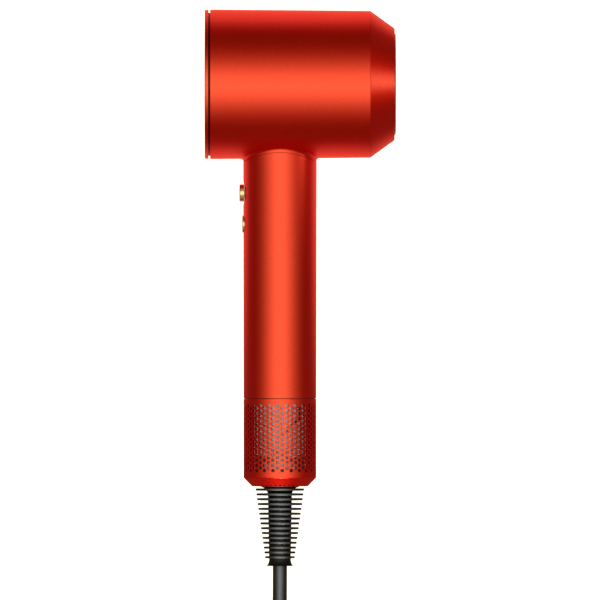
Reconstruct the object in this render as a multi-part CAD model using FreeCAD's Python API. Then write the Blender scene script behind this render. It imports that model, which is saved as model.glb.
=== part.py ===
import FreeCAD, Part
import math
import os
from FreeCAD import Placement, Rotation, Vector

# Hand-held hair dryer: a tubular head with an open bore, a round handle that holds the motor,
# a perforated filter cage at the handle's end, and a mains lead with its plug.
#
# The dryer is drawn upright and then laid on its side. Upright, the head's axis is X with the nose
# towards +X, the handle's axis is Z with the head at the top, and the origin is where they cross.
# Laid down, the side that faced -Y faces up, and the dryer rests on its head and its filter cage.
# The lead is drawn where it lies. All sizes are in millimetres.

# ---- head ----
BARREL_REAR_X = -35.75
BARREL_FRONT_X = 46.4
NOSE_X = 58.8
BARREL_REAR_R = 38.35
BARREL_FRONT_R = 37.65
NOSE_R = 28.7
NOSE_OPENING_R = 27.8
SHELL_WALL = 1.6
BORE_R = 22.0
BORE_WALL = 1.6
CAP_BACK_X = -38.5
CAP_RIM_X = -36.7
CAP_RIM_R = 38.2
CAP_GROOVE_R = 36.7
SEAL_SEAT_R = 36.1
CAP_MOUTH_R = 26.0
CAP_INNER_X = -36.3
SPIGOT_X = -33.5
MOUTH_BEND = CAP_MOUTH_R - BORE_R
MOUTH_WALL = 1.8
NOZZLE_START_X = 56.0
NOZZLE_LIP_X = 59.4
NOZZLE_R = 26.0
NOZZLE_LIP_R = 24.4

HEATER_START_X = 17.0
HEATER_STACKS = 3
HEATER_BAND = 7.5
HEATER_SPACER = 1.0

# ---- collar where the handle meets the head ----
COLLAR_R = 39.7
COLLAR_FLARE = 1.3
SEAM_GAP = 0.2
EDGE_ROUND = 0.12
AIRWAY_R = 16.2
NECK_R = 17.25
NECK_Z = -47.0

# ---- handle ----
HANDLE_TOP_R = 18.8
HANDLE_LOW_R = 18.6
HANDLE_BORE_R = 17.35
HANDLE_END_Z = -161.0
DUCT_R = 16.1
DUCT_WALL = 0.8
DUCT_FLAT_X = -10.5

# ---- buttons ----
SLIDER_Z = -55.7
SLIDER_R = 4.45
SLIDER_TOP_X = -20.75
SLIDER_TRAVEL = 1.7
RECESS_LENGTH = 12.6
RECESS_WIDTH = 10.0
RECESS_X = -18.25
COLD_SHOT_Z = -71.6
COLD_SHOT_R = 4.4
COLD_SHOT_TOP_X = -19.3
REAR_BUTTON_R = 4.0
REAR_BUTTON_RING = 30.4
REAR_BUTTON_TURNS = {"airflow": 28.0, "heat": -28.0}
BOARD_X = -32.4
BOARD_THICK = 1.4

# ---- motor ----
HOUSING_R = 13.3
HOUSING_BORE_R = 12.1
HOUSING_LOW_Z = -150.0
HOUSING_TOP_Z = -112.0
SHAFT_R = 1.5
SHAFT_LOW_Z = -148.5
SHAFT_TOP_Z = -108.5
IMPELLER_R = 11.8
IMPELLER_HUB_R = 6.0
IMPELLER_LOW_Z = -148.0
IMPELLER_HEIGHT = 6.0
IMPELLER_BLADES = 13
BEARING_R = 4.5
BEARING_GAP = 0.05
LOW_BEARING_Z = -136.5
TOP_BEARING_Z = -114.5
BEARING_HEIGHT = 3.0
STATOR_LOW_Z = -130.0
STATOR_TOP_Z = -118.0

MOUNT_HEIGHT = 4.0
MOUNT_TOP_Z = -114.0
MOUNT_LOW_Z = -148.0
WIRE_R = 0.75
WIRE_X = 10.1

# ---- filter cage and filter ----
CAGE_TOP_Z = -161.25
CAGE_SHOULDER_Z = -201.7
CAGE_FOOT_R = 14.3
CAGE_FOOT_Z = -206.1
CAGE_HOLE_R = 12.8
CAGE_WALL = 0.9
AIR_HOLE_R = 0.95
AIR_HOLE_COLUMNS = 50
AIR_HOLE_ROWS = 13
AIR_HOLE_PITCH = 2.65
AIR_HOLE_FIRST_Z = -164.8
AIR_HOLE_FIRST_TURN = 266.4
DRAIN_HOLES = 40
DRAIN_HOLE_R = 0.45
FRAME_R = 17.2
FRAME_INNER_R = 15.6
FRAME_LOW_Z = -201.2
MESH_LOW_Z = -197.3
MESH_TOP_Z = -164.0
BASE_FOOT_Z = -203.4
BASE_FOOT_R = 14.6

BASE_SCREW_RING = 11.6
LUG_HEIGHT = 4.5
CLAMP_SCREW_X = 10.1
CLAMP_LOW_Z = -194.5
CLAMP_THICK = 3.0
SHEATH_TOP_Z = -187.0

# ---- strain relief ----
RELIEF_SHANK_R = 6.5
RELIEF_FLANGE_R = 7.6
RELIEF_TOP_Z = -197.6
RELIEF_NECK_R = 9.8
RELIEF_NECK_Z = -206.4
RIB_COUNT = 15
RIB_FIRST_Z = -207.8
RIB_PITCH = 2.48
RIB_THICK = 1.1
RIB_ROUND = 0.15
RIB_FIRST_R = 12.4
RIB_LAST_R = 7.6
CORE_TOP_R = 6.15
CORE_TOP_Z = -210.2
CORE_LOW_R = 5.55
BELL_Z = -247.0
BELL_R = 6.85
BELL_MOUTH_R = 5.4
BELL_MOUTH_DEPTH = 2.0

# ---- lead and plug, where they lie ----
CORD_R = 3.65
COIL_MEAN_R = 38.0
COIL_CENTRE = (34.85, -220.0)
COIL_COLUMNS = 3
COIL_LAYERS = 4
PLUG_ENTRY = (-33.5, -229.0, 10.0)
PLUG_WIDTH = 31.0
PLUG_THICK = 20.0
PLUG_LENGTH = 34.0
BOOT_LENGTH = 18.0
PIN_R = 2.4
PIN_LENGTH = 19.0
PIN_SPACING = 19.0
LEAD_IN_ROUTE = [
    (-10.45, -139.75, 14.25),
    (-10.45, -159.0, 12.28),
    (-11.0, -184.0, 4.7),
    (-10.6, -208.0, 3.65),
    (-10.45, -220.0, 3.65),
]
LEAD_OUT_ROUTE = [
    (34.85, -176.5, 25.55),
    (15.5, -176.2, 25.2),
    (-3.5, -180.4, 22.6),
    (-19.8, -191.6, 16.4),
    (-30.2, -208.9, 11.2),
    (-33.5, -229.0, 10.0),
]

X_AXIS = Vector(1, 0, 0)
Y_AXIS = Vector(0, 1, 0)
Z_AXIS = Vector(0, 0, 1)
CENTRE = Vector(0, 0, 0)
REACH = 100.0


def rest_dip():
    """Angle by which the handle dips so that head and cage both touch the surface."""
    drop = math.hypot(CAGE_SHOULDER_Z, HANDLE_LOW_R)
    return math.asin(BARREL_REAR_R / drop) - math.atan2(HANDLE_LOW_R, -CAGE_SHOULDER_Z)


def rest_placement():
    """Lays the upright dryer on its side, with the origin under the middle of its box."""
    dip = rest_dip()
    low_y = BELL_Z * math.cos(dip) - BELL_R * math.sin(dip)
    shift = Vector(-(CAP_BACK_X + NOZZLE_LIP_X) / 2, -(BARREL_REAR_R + low_y) / 2, BARREL_REAR_R)
    return Placement(shift, Rotation(X_AXIS, math.degrees(dip) - 90))


# ---- shape helpers ----
def outline(start, *steps):
    """Face in the XZ plane. A step is an end point, or a (middle, end) pair for an arc."""
    edges = []
    here = Vector(start[0], 0, start[1])
    first = here
    for step in steps:
        if isinstance(step[0], tuple):
            middle = Vector(step[0][0], 0, step[0][1])
            end = Vector(step[1][0], 0, step[1][1])
            edges.append(Part.Arc(here, middle, end).toShape())
        else:
            end = Vector(step[0], 0, step[1])
            edges.append(Part.LineSegment(here, end).toShape())
        here = end
    if here != first:
        edges.append(Part.LineSegment(here, first).toShape())
    return Part.Face(Part.Wire(edges))


def turned_x(*steps):
    """Turned solid about the head's axis, from (x, radius) points."""
    return outline(*steps).revolve(CENTRE, X_AXIS, 360)


def turned_z(*steps):
    """Turned solid about the handle's axis, from (radius, z) points."""
    return outline(*steps).revolve(CENTRE, Z_AXIS, 360)


def disc_x(radius, low, high, y=0.0, z=0.0):
    return Part.makeCylinder(radius, high - low, Vector(low, y, z), X_AXIS)


def disc_z(radius, low, high, x=0.0, y=0.0):
    return Part.makeCylinder(radius, high - low, Vector(x, y, low), Z_AXIS)


def ring_x(outer, inner, low, high):
    return disc_x(outer, low, high).cut(disc_x(inner, low, high))


def ring_z(outer, inner, low, high):
    return disc_z(outer, low, high).cut(disc_z(inner, low, high))


def block(x, y, z):
    """Box from (low, high) pairs."""
    size = [pair[1] - pair[0] for pair in (x, y, z)]
    return Part.makeBox(size[0], size[1], size[2], Vector(x[0], y[0], z[0]))


def spun(shape, axis, count, first=0.0):
    """Copies of a shape evenly spaced around an axis through the origin."""
    copies = []
    for index in range(count):
        copy = shape.copy()
        copy.rotate(CENTRE, axis, first + index * 360.0 / count)
        copies.append(copy)
    return copies


def circles_at(shape, test):
    """Circular edges whose centre and radius pass a test."""
    found = []
    for edge in shape.Edges:
        curve = edge.Curve
        if isinstance(curve, Part.Circle) and test(curve.Center, curve.Radius):
            found.append(edge)
    return found


def near(value, target, within=0.02):
    return abs(value - target) < within


def bent_wire(points, bend=None):
    """Straight runs joined by tangent arcs, as wide as their runs allow unless a bend is given."""
    corners = [Vector(*point) for point in points]
    edges = []
    radii = []
    here = corners[0]
    for before, corner, after in zip(corners, corners[1:], corners[2:]):
        back = before - corner
        ahead = after - corner
        half_turn = (math.pi - back.getAngle(ahead)) / 2
        radius = bend or 0.45 * min(back.Length, ahead.Length) / math.tan(half_turn)
        reach = radius * math.tan(half_turn)
        back.normalize()
        ahead.normalize()
        start = corner + back * reach
        end = corner + ahead * reach
        inward = back + ahead
        inward.normalize()
        middle = corner + inward * (radius / math.cos(half_turn) - radius)
        edges.append(Part.LineSegment(here, start).toShape())
        edges.append(Part.Arc(start, middle, end).toShape())
        radii.append(radius)
        here = end
    edges.append(Part.LineSegment(here, corners[-1]).toShape())
    return Part.Wire(edges), radii


def bent_tube(points, radius, bend=None):
    """Round solid along straight runs and tangent arcs."""
    path, radii = bent_wire(points, bend)
    start = Vector(*points[0])
    heading = Vector(*points[1]) - start
    section = Part.Wire([Part.Circle(start, heading, radius).toShape()])
    return path.makePipeShell([section], True, False), path.Length, radii


def screw(head, direction, length=6.0):
    """Small pan-head screw whose head sits at a point and whose shank runs along a direction."""
    point = Vector(*head)
    along = Vector(*direction)
    cap = Part.makeCylinder(1.75, 1.3, point, along * -1)
    slot = Part.makeCylinder(0.7, 0.6, point - along * 1.3, along)
    shank = Part.makeCylinder(1.0, length, point, along)
    return cap.cut(slot).fuse(shank)


# ---- head pieces ----
def nose_angle():
    return math.atan2(BARREL_FRONT_R - NOSE_R, NOSE_X - BARREL_FRONT_X)


def nose_inner_radius(x):
    """Radius of the shell's inner cone at a place along the nose."""
    slope = nose_angle()
    inside = SHELL_WALL + (x - BARREL_FRONT_X) * math.sin(slope)
    return BARREL_FRONT_R - inside / math.cos(slope)


def nose_inner_end_x():
    slope = nose_angle()
    return NOSE_X - (SHELL_WALL - (NOSE_R - NOSE_OPENING_R) * math.cos(slope)) / math.sin(slope)


def barrel_shell():
    inner_corner_x = BARREL_FRONT_X - SHELL_WALL * math.tan(nose_angle() / 2)
    shell = turned_x(
        (BARREL_REAR_X, BARREL_REAR_R),
        (BARREL_FRONT_X, BARREL_FRONT_R),
        (NOSE_X, NOSE_R),
        (NOSE_X, NOSE_OPENING_R),
        (nose_inner_end_x(), NOSE_OPENING_R),
        (inner_corner_x, BARREL_FRONT_R - SHELL_WALL),
        (BARREL_REAR_X, BARREL_REAR_R - SHELL_WALL),
    )
    corner = circles_at(shell, lambda at, r: near(at.x, BARREL_FRONT_X) and near(r, BARREL_FRONT_R))
    shell = shell.makeFillet(1.0, corner)
    rims = circles_at(shell, lambda at, r: near(r, NOSE_R) or near(r, BARREL_REAR_R))
    shell = shell.makeFillet(0.25, rims)
    collar = disc_z(HANDLE_TOP_R, -COLLAR_R, 0).common(disc_x(COLLAR_R, -REACH, REACH))
    collar = collar.cut(disc_x(BARREL_FRONT_R - SHELL_WALL, -REACH, REACH))
    shell = shell.fuse(collar)
    crease = []
    for edge in shell.Edges:
        middle = edge.valueAt((edge.FirstParameter + edge.LastParameter) / 2)
        on_handle = near(math.hypot(middle.x, middle.y), HANDLE_TOP_R, 0.05)
        on_head = math.hypot(middle.y, middle.z) < COLLAR_R - 0.5
        if on_handle and on_head and middle.z < 0 and math.hypot(middle.y, middle.z) > BARREL_FRONT_R:
            crease.append(edge)
    shell = shell.makeFillet(COLLAR_FLARE, crease)
    shell = shell.cut(disc_z(AIRWAY_R, -REACH, 0))
    neck = ring_z(NECK_R, AIRWAY_R, NECK_Z, -30).cut(disc_x(BARREL_FRONT_R - SHELL_WALL, -REACH, REACH))
    return shell.fuse(neck).removeSplitter()


def rear_button_place(name):
    turn = math.radians(REAR_BUTTON_TURNS[name])
    return -REAR_BUTTON_RING * math.sin(turn), REAR_BUTTON_RING * math.cos(turn)


def light_places():
    """Three small lights on the outer side of each rear button."""
    places = []
    for name in REAR_BUTTON_TURNS:
        side = math.copysign(1, REAR_BUTTON_TURNS[name])
        for step in range(3):
            turn = math.radians(REAR_BUTTON_TURNS[name] + side * (15 + 6 * step))
            places.append((-REAR_BUTTON_RING * math.sin(turn), REAR_BUTTON_RING * math.cos(turn)))
    return places


def boss_places():
    return [(30 * math.cos(math.radians(turn)), 30 * math.sin(math.radians(turn))) for turn in (180, 270, 0)]


def rear_cap():
    bend_x = CAP_BACK_X + MOUTH_BEND
    inner_bend = MOUTH_BEND - MOUTH_WALL
    inner_reach = math.sqrt(inner_bend ** 2 - (bend_x - CAP_INNER_X) ** 2)
    slant = math.sqrt(0.5)
    cap = turned_x(
        (CAP_BACK_X, CAP_MOUTH_R),
        (CAP_BACK_X, CAP_RIM_R),
        (CAP_RIM_X, CAP_RIM_R),
        (CAP_RIM_X, SEAL_SEAT_R),
        (BARREL_REAR_X, SEAL_SEAT_R),
        (BARREL_REAR_X, CAP_GROOVE_R),
        (SPIGOT_X, CAP_GROOVE_R),
        (SPIGOT_X, CAP_GROOVE_R - 1.2),
        (CAP_INNER_X, CAP_GROOVE_R - 1.2),
        (CAP_INNER_X, CAP_MOUTH_R - inner_reach),
        ((bend_x - inner_bend * math.sin(0.5), CAP_MOUTH_R - inner_bend * math.cos(0.5)),
         (bend_x, CAP_MOUTH_R - inner_bend)),
        (bend_x, BORE_R),
        ((bend_x - MOUTH_BEND * slant, CAP_MOUTH_R - MOUTH_BEND * slant), (CAP_BACK_X, CAP_MOUTH_R)),
    )
    rim = circles_at(cap, lambda at, r: near(at.x, CAP_BACK_X) and near(r, CAP_RIM_R))
    cap = cap.makeFillet(0.4, rim)
    for y, z in boss_places():
        cap = cap.fuse(disc_x(2.2, CAP_INNER_X, BOARD_X, y, z)).cut(disc_x(1.0, CAP_INNER_X, BOARD_X, y, z))
    for name in REAR_BUTTON_TURNS:
        y, z = rear_button_place(name)
        dish = Part.makeSphere(16.0, Vector(CAP_BACK_X - 15.3, y, z))
        cap = cap.cut(dish).cut(disc_x(REAR_BUTTON_R + 0.2, CAP_BACK_X, CAP_INNER_X, y, z))
    for y, z in light_places():
        cap = cap.cut(disc_x(0.6, CAP_BACK_X, CAP_INNER_X, y, z))
    return cap


def rear_seal():
    """Dark band that fills the floor of the groove between the cap's rim and the shell."""
    return ring_x(CAP_GROOVE_R, SEAL_SEAT_R, CAP_RIM_X, BARREL_REAR_X)


def bore_tube():
    return ring_x(BORE_R + BORE_WALL, BORE_R, CAP_BACK_X + MOUTH_BEND, NOZZLE_START_X)


def nozzle_ring():
    return turned_x(
        (NOZZLE_START_X, BORE_R),
        (NOZZLE_LIP_X - 2.0, BORE_R),
        ((NOZZLE_LIP_X - 0.6, BORE_R + 1.0), (NOZZLE_LIP_X, NOZZLE_LIP_R)),
        (NOZZLE_LIP_X, NOZZLE_R - 0.6),
        ((NOZZLE_LIP_X - 0.18, NOZZLE_R - 0.18), (NOZZLE_LIP_X - 0.6, NOZZLE_R)),
        (NOZZLE_START_X, NOZZLE_R),
    )


def magnet_places():
    return spun(block((49.5, 55.5), (-2.0, 2.0), (23.8, 25.6)), X_AXIS, 8, 22.5)


def magnet_carrier():
    carrier = ring_x(NOZZLE_R, BORE_R + BORE_WALL, 48.0, NOZZLE_START_X)
    cone = turned_x(
        (48.5, 24.5),
        (48.5, nose_inner_radius(48.5) - 0.05),
        (54.0, nose_inner_radius(54.0) - 0.05),
        (54.0, 24.5),
    )
    ribs = spun(block((48.5, 54.0), (-0.6, 0.6), (25.0, 36.0)), X_AXIS, 6)
    carrier = carrier.fuse([rib.common(cone) for rib in ribs])
    pockets = spun(block((49.4, NOZZLE_START_X), (-2.1, 2.1), (23.7, 25.7)), X_AXIS, 8, 22.5)
    return carrier.cut(pockets)


def zigzag_band(outer, inner, lobes, thickness, low, high):
    """Corrugated resistance ribbon wound round the head's axis."""
    def zigzag(shift):
        corners = []
        for index in range(2 * lobes + 1):
            radius = (outer if index % 2 else inner) - shift
            turn = math.pi * index / lobes
            corners.append(Vector(low, radius * math.cos(turn), radius * math.sin(turn)))
        return Part.Face(Part.makePolygon(corners))
    return zigzag(0).cut(zigzag(thickness)).extrude(Vector(high - low, 0, 0))


def heater_coils():
    pitch = HEATER_BAND + HEATER_SPACER
    bands = []
    for stack in range(HEATER_STACKS):
        low = HEATER_START_X + HEATER_SPACER + stack * pitch
        bands.append(zigzag_band(33.0, 27.4, 48, 1.1, low + 0.05, low + HEATER_BAND - 0.05))
    return bands


def heater_spacers():
    spacers = []
    for index in range(HEATER_STACKS + 1):
        low = HEATER_START_X + index * (HEATER_BAND + HEATER_SPACER)
        spokes = spun(block((low, low + HEATER_SPACER), (-0.6, 0.6), (25.6, 33.8)), X_AXIS, 8)
        inner = ring_x(26.0, 25.2, low, low + HEATER_SPACER)
        outer = ring_x(34.2, 33.4, low, low + HEATER_SPACER)
        spacers.append(inner.fuse(spokes + [outer]))
    return spacers


def heater_end_x():
    return HEATER_START_X + HEATER_STACKS * (HEATER_BAND + HEATER_SPACER) + HEATER_SPACER


def heater_inner_former():
    return ring_x(25.2, 24.4, HEATER_START_X, heater_end_x())


def heater_outer_former():
    return ring_x(35.0, 34.2, HEATER_START_X, heater_end_x())


def heater_leads():
    leads = []
    for turn in (35, 145):
        y = 29.5 * math.cos(math.radians(turn))
        z = 29.5 * math.sin(math.radians(turn))
        leads.append(disc_x(0.6, BOARD_X + BOARD_THICK, HEATER_START_X, y, z))
    return leads


def thermal_fuse():
    body = disc_x(1.8, 6.0, 15.0, 26.5, -14.0)
    return body.fuse([disc_x(0.4, 2.0, 6.0, 26.5, -14.0), disc_x(0.4, 15.0, HEATER_START_X, 26.5, -14.0)])


def outlet_thermistor():
    bead = Part.makeSphere(1.2, Vector(heater_end_x() + 2.5, 0, -29.0))
    return bead.fuse(disc_x(0.35, heater_end_x(), heater_end_x() + 2.5, 0, -29.0))


def ioniser_module():
    return block((-20, 2), (-6, 6), (25.5, 33.5))


def ioniser_needle():
    needle = disc_x(1.0, 2, 5, 0, 29.5)
    tip = Part.makeCone(0.5, 0.05, 5.0, Vector(5, 0, 29.5), X_AXIS)
    return needle.fuse(tip)


def control_board():
    board = ring_x(35.0, 24.2, BOARD_X, BOARD_X + BOARD_THICK)
    for y, z in boss_places():
        board = board.cut(disc_x(1.1, BOARD_X, BOARD_X + BOARD_THICK, y, z))
    return board


def board_components():
    face = BOARD_X + BOARD_THICK
    parts = [block((face, face + 5), (-5, 5), (26.0, 33.0))]
    parts.append(block((face, face + 3), (25.5, 33.0), (4, 12)))
    parts.append(block((face, face + 3), (-33.0, -25.5), (4, 12)))
    parts.append(disc_x(3.5, face, face + 9, 20.5, -20.5))
    parts.append(disc_x(3.5, face, face + 9, -20.5, -20.5))
    return parts


def board_screws():
    return [screw((BOARD_X + BOARD_THICK, y, z), (-1, 0, 0), 4.5) for y, z in boss_places()]


def rear_switches():
    switches = []
    for name in REAR_BUTTON_TURNS:
        y, z = rear_button_place(name)
        body = block((BOARD_X - 1.5, BOARD_X), (y - 2.25, y + 2.25), (z - 2.25, z + 2.25))
        switches.append(body.fuse(disc_x(1.2, BOARD_X - 2.2, BOARD_X - 1.5, y, z)))
    return switches


def rear_button(name):
    y, z = rear_button_place(name)
    top = disc_x(REAR_BUTTON_R, CAP_BACK_X + 0.05, CAP_INNER_X + 0.4, y, z)
    edge = circles_at(top, lambda at, r: near(at.x, CAP_BACK_X + 0.05))
    top = top.makeFillet(0.4, edge)
    return top.fuse(disc_x(REAR_BUTTON_R + 0.8, CAP_INNER_X + 0.2, CAP_INNER_X + 0.9, y, z))


def light_guides():
    return [disc_x(0.55, CAP_BACK_X + 0.05, BOARD_X - 0.9, y, z) for y, z in light_places()]


def status_lights():
    lights = []
    for y, z in light_places():
        lights.append(block((BOARD_X - 0.8, BOARD_X), (y - 0.8, y + 0.8), (z - 0.5, z + 0.5)))
    return lights


# ---- handle pieces ----
def handle_tube():
    tube = turned_z(
        (HANDLE_BORE_R, 0),
        (HANDLE_TOP_R, 0),
        (HANDLE_TOP_R, -COLLAR_R),
        (HANDLE_LOW_R, HANDLE_END_Z),
        (HANDLE_BORE_R, HANDLE_END_Z),
    )
    low_rim = circles_at(tube, lambda at, r: near(at.z, HANDLE_END_Z) and near(r, HANDLE_LOW_R))
    tube = tube.makeFillet(EDGE_ROUND, low_rim)
    tube = tube.cut(disc_x(COLLAR_R + SEAM_GAP, -REACH, REACH))
    half = (RECESS_LENGTH - RECESS_WIDTH) / 2
    recess = disc_x(RECESS_WIDTH / 2, -REACH, RECESS_X, 0, SLIDER_Z + half)
    recess = recess.fuse(disc_x(RECESS_WIDTH / 2, -REACH, RECESS_X, 0, SLIDER_Z - half))
    slab = block((-REACH, RECESS_X), (-RECESS_WIDTH / 2, RECESS_WIDTH / 2), (SLIDER_Z - half, SLIDER_Z + half))
    tube = tube.cut(recess.fuse(slab))
    slot = block((-REACH, -10), (-1.8, 1.8), (SLIDER_Z - 1.8, SLIDER_Z + 1.8 + SLIDER_TRAVEL))
    tube = tube.cut(slot)
    return tube.cut(disc_x(COLD_SHOT_R + 0.2, -REACH, -10, 0, COLD_SHOT_Z))


def air_duct():
    """Duct above the motor, flattened on the button side, with a round skirt round the motor."""
    def d_shape(radius, flat_x):
        whole = disc_z(radius, HOUSING_TOP_Z, NECK_Z - 0.5)
        return whole.common(block((flat_x, REACH), (-REACH, REACH), (-REACH * 2, REACH)))
    duct = d_shape(DUCT_R, DUCT_FLAT_X).cut(d_shape(DUCT_R - DUCT_WALL, DUCT_FLAT_X + DUCT_WALL))
    return duct.fuse(ring_z(DUCT_R, DUCT_R - DUCT_WALL, MOUNT_TOP_Z, HOUSING_TOP_Z + 1.0))


def switch_board():
    return block((-11.7, DUCT_FLAT_X), (-7, 7), (-82, -48.5))


def power_switch():
    body = block((-14.6, -11.7), (-3.3, 3.3), (SLIDER_Z - 6, SLIDER_Z + 6))
    return body.cut(block((-14.6, -13.4), (-1.4, 1.4), (SLIDER_Z - 1.4, SLIDER_Z + 1.4 + SLIDER_TRAVEL)))


def power_slider():
    cap = disc_x(SLIDER_R, SLIDER_TOP_X, RECESS_X - 0.1, 0, SLIDER_Z)
    edge = circles_at(cap, lambda at, r: near(at.x, SLIDER_TOP_X))
    return cap.makeFillet(0.5, edge)


def slider_carrier():
    stem = block((RECESS_X - 0.1, -16.5), (-1.5, 1.5), (SLIDER_Z - 1.5, SLIDER_Z + 1.5))
    plate = block((-16.6, -15.6), (-3.5, 3.5), (SLIDER_Z - 5, SLIDER_Z + 5))
    post = block((-15.7, -13.6), (-1.0, 1.0), (SLIDER_Z - 1, SLIDER_Z + 1))
    return stem.fuse([plate, post])


def cold_shot_button():
    top = disc_x(COLD_SHOT_R, COLD_SHOT_TOP_X, -15.9, 0, COLD_SHOT_Z)
    edge = circles_at(top, lambda at, r: near(at.x, COLD_SHOT_TOP_X))
    top = top.makeFillet(0.35, edge)
    flange = disc_x(COLD_SHOT_R + 0.8, -16.2, -15.6, 0, COLD_SHOT_Z)
    return top.fuse([flange, disc_x(1.5, -15.6, -15.1, 0, COLD_SHOT_Z)])


def cold_shot_switch():
    body = block((-13.4, -11.7), (-3, 3), (COLD_SHOT_Z - 3, COLD_SHOT_Z + 3))
    return body.fuse(disc_x(1.6, -14.1, -13.4, 0, COLD_SHOT_Z))


# ---- motor pieces ----
def motor_housing():
    return turned_z(
        (HOUSING_BORE_R, HOUSING_TOP_Z),
        (HOUSING_R, HOUSING_TOP_Z),
        (HOUSING_R, HOUSING_LOW_Z),
        (HOUSING_R - 0.3, HOUSING_LOW_Z),
        ((HOUSING_BORE_R + 0.25, HOUSING_LOW_Z + 0.6), (HOUSING_BORE_R, HOUSING_LOW_Z + 1.5)),
    )


def tilted_blades(count, lean, inner, outer, low, high):
    """Leaning flat blades between two radii and two heights."""
    space = ring_z(outer, inner, low, high)
    middle = (low + high) / 2
    blade = block((inner - 1, outer + 1), (-0.35, 0.35), (middle - REACH / 10, middle + REACH / 10))
    blade.rotate(Vector(0, 0, middle), X_AXIS, lean)
    return [copy.common(space) for copy in spun(blade, Z_AXIS, count)]


def impeller():
    top = IMPELLER_LOW_Z + IMPELLER_HEIGHT
    hub = turned_z(
        (SHAFT_R, IMPELLER_LOW_Z),
        (4.0, IMPELLER_LOW_Z),
        ((5.4, IMPELLER_LOW_Z + 0.9), (IMPELLER_HUB_R, IMPELLER_LOW_Z + 2.4)),
        (IMPELLER_HUB_R, top),
        (SHAFT_R, top),
    )
    blades = tilted_blades(IMPELLER_BLADES, 38, IMPELLER_HUB_R - 0.4, IMPELLER_R, IMPELLER_LOW_Z + 2.4, top)
    return hub.fuse(blades)


def guide_vanes():
    hub = ring_z(7.0, BEARING_R, LOW_BEARING_Z, LOW_BEARING_Z + BEARING_HEIGHT)
    vanes = tilted_blades(11, -25, 6.6, HOUSING_BORE_R, LOW_BEARING_Z - 1, LOW_BEARING_Z + BEARING_HEIGHT + 1)
    return hub.fuse(vanes)


def motor_bearings():
    bearings = []
    for low in (LOW_BEARING_Z, TOP_BEARING_Z):
        bearings.append(ring_z(BEARING_R, SHAFT_R + BEARING_GAP, low, low + BEARING_HEIGHT))
    return bearings


def bearing_bridge():
    hub = ring_z(6.0, BEARING_R, TOP_BEARING_Z, TOP_BEARING_Z + BEARING_HEIGHT)
    low = TOP_BEARING_Z
    arms = spun(block((5.5, HOUSING_BORE_R - 0.1), (-1, 1), (low, low + 2.0)), Z_AXIS, 4, 45)
    posts = spun(disc_z(0.7, low, low + 6.0, 8.0), Z_AXIS, 4, 45)
    return hub.fuse(arms + posts)


def motor_board():
    low = TOP_BEARING_Z + 6.0
    return disc_z(9.0, low, low + 1.2).cut(disc_z(2.0, low, low + 1.2))


def motor_shaft():
    return disc_z(SHAFT_R, SHAFT_LOW_Z, SHAFT_TOP_Z)


def rotor_magnet():
    return ring_z(3.6, SHAFT_R, STATOR_LOW_Z, STATOR_TOP_Z)


def stator_core():
    teeth = spun(block((4.2, 9.0), (-1.6, 1.6), (STATOR_LOW_Z, STATOR_TOP_Z)), Z_AXIS, 4)
    return ring_z(11.0, 8.6, STATOR_LOW_Z, STATOR_TOP_Z).fuse(teeth)


def stator_windings():
    tooth = block((5.0, 8.0), (-1.65, 1.65), (STATOR_LOW_Z - 0.05, STATOR_TOP_Z + 0.05))
    winding = block((5.0, 8.0), (-2.9, 2.9), (STATOR_LOW_Z - 1.3, STATOR_TOP_Z + 1.3)).cut(tooth)
    return spun(winding, Z_AXIS, 4)


def wire_channel(low, high):
    """Clearance for the two supply wires through a ring."""
    return [disc_z(WIRE_R + 0.15, low, high, WIRE_X, side * WIRE_X) for side in (-1, 1)]


def motor_mount(low):
    high = low + MOUNT_HEIGHT
    return ring_z(HANDLE_BORE_R, HOUSING_R, low, high).cut(wire_channel(low, high))


def inlet_silencer():
    return ring_z(16.0, 8.0, -159, -151).cut(wire_channel(-159, -151))


def supply_wires():
    wires = []
    for side in (-1, 1):
        route = [
            (0, 1.8 * side, -187.0),
            (0, 2.4 * side, -181.0),
            (WIRE_X, WIRE_X * side, -171.0),
            (WIRE_X, WIRE_X * side, -40.0),
            (4.0, 10.5 * side, -31.0),
            (BOARD_X + BOARD_THICK, 10.5 * side, -31.0),
        ]
        wires.append(bent_tube(route, WIRE_R, 4.0)[0])
    return wires


# ---- filter end ----
def air_holes():
    holes = []
    for column in range(AIR_HOLE_COLUMNS):
        turn = math.radians(AIR_HOLE_FIRST_TURN + column * 360.0 / AIR_HOLE_COLUMNS)
        outward = Vector(math.cos(turn), math.sin(turn), 0)
        first = AIR_HOLE_FIRST_Z - (column % 2) * AIR_HOLE_PITCH / 2
        for row in range(AIR_HOLE_ROWS):
            start = outward * (HANDLE_LOW_R - 3) + Z_AXIS * (first - row * AIR_HOLE_PITCH)
            holes.append(Part.makeCylinder(AIR_HOLE_R, 4.5, start, outward))
    return holes


def drain_holes():
    """Row of pin holes in the cage's tapered foot."""
    down = CAGE_SHOULDER_Z - CAGE_FOOT_Z
    across = HANDLE_LOW_R - CAGE_FOOT_R
    outward = Vector(down, 0, -across)
    outward.normalize()
    foot = Vector(CAGE_FOOT_R + 0.5, 0, CAGE_FOOT_Z + 0.5 * down / across)
    hole = Part.makeCylinder(DRAIN_HOLE_R, 3.0, foot - outward * 1.5, outward)
    return spun(hole, Z_AXIS, DRAIN_HOLES)


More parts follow.
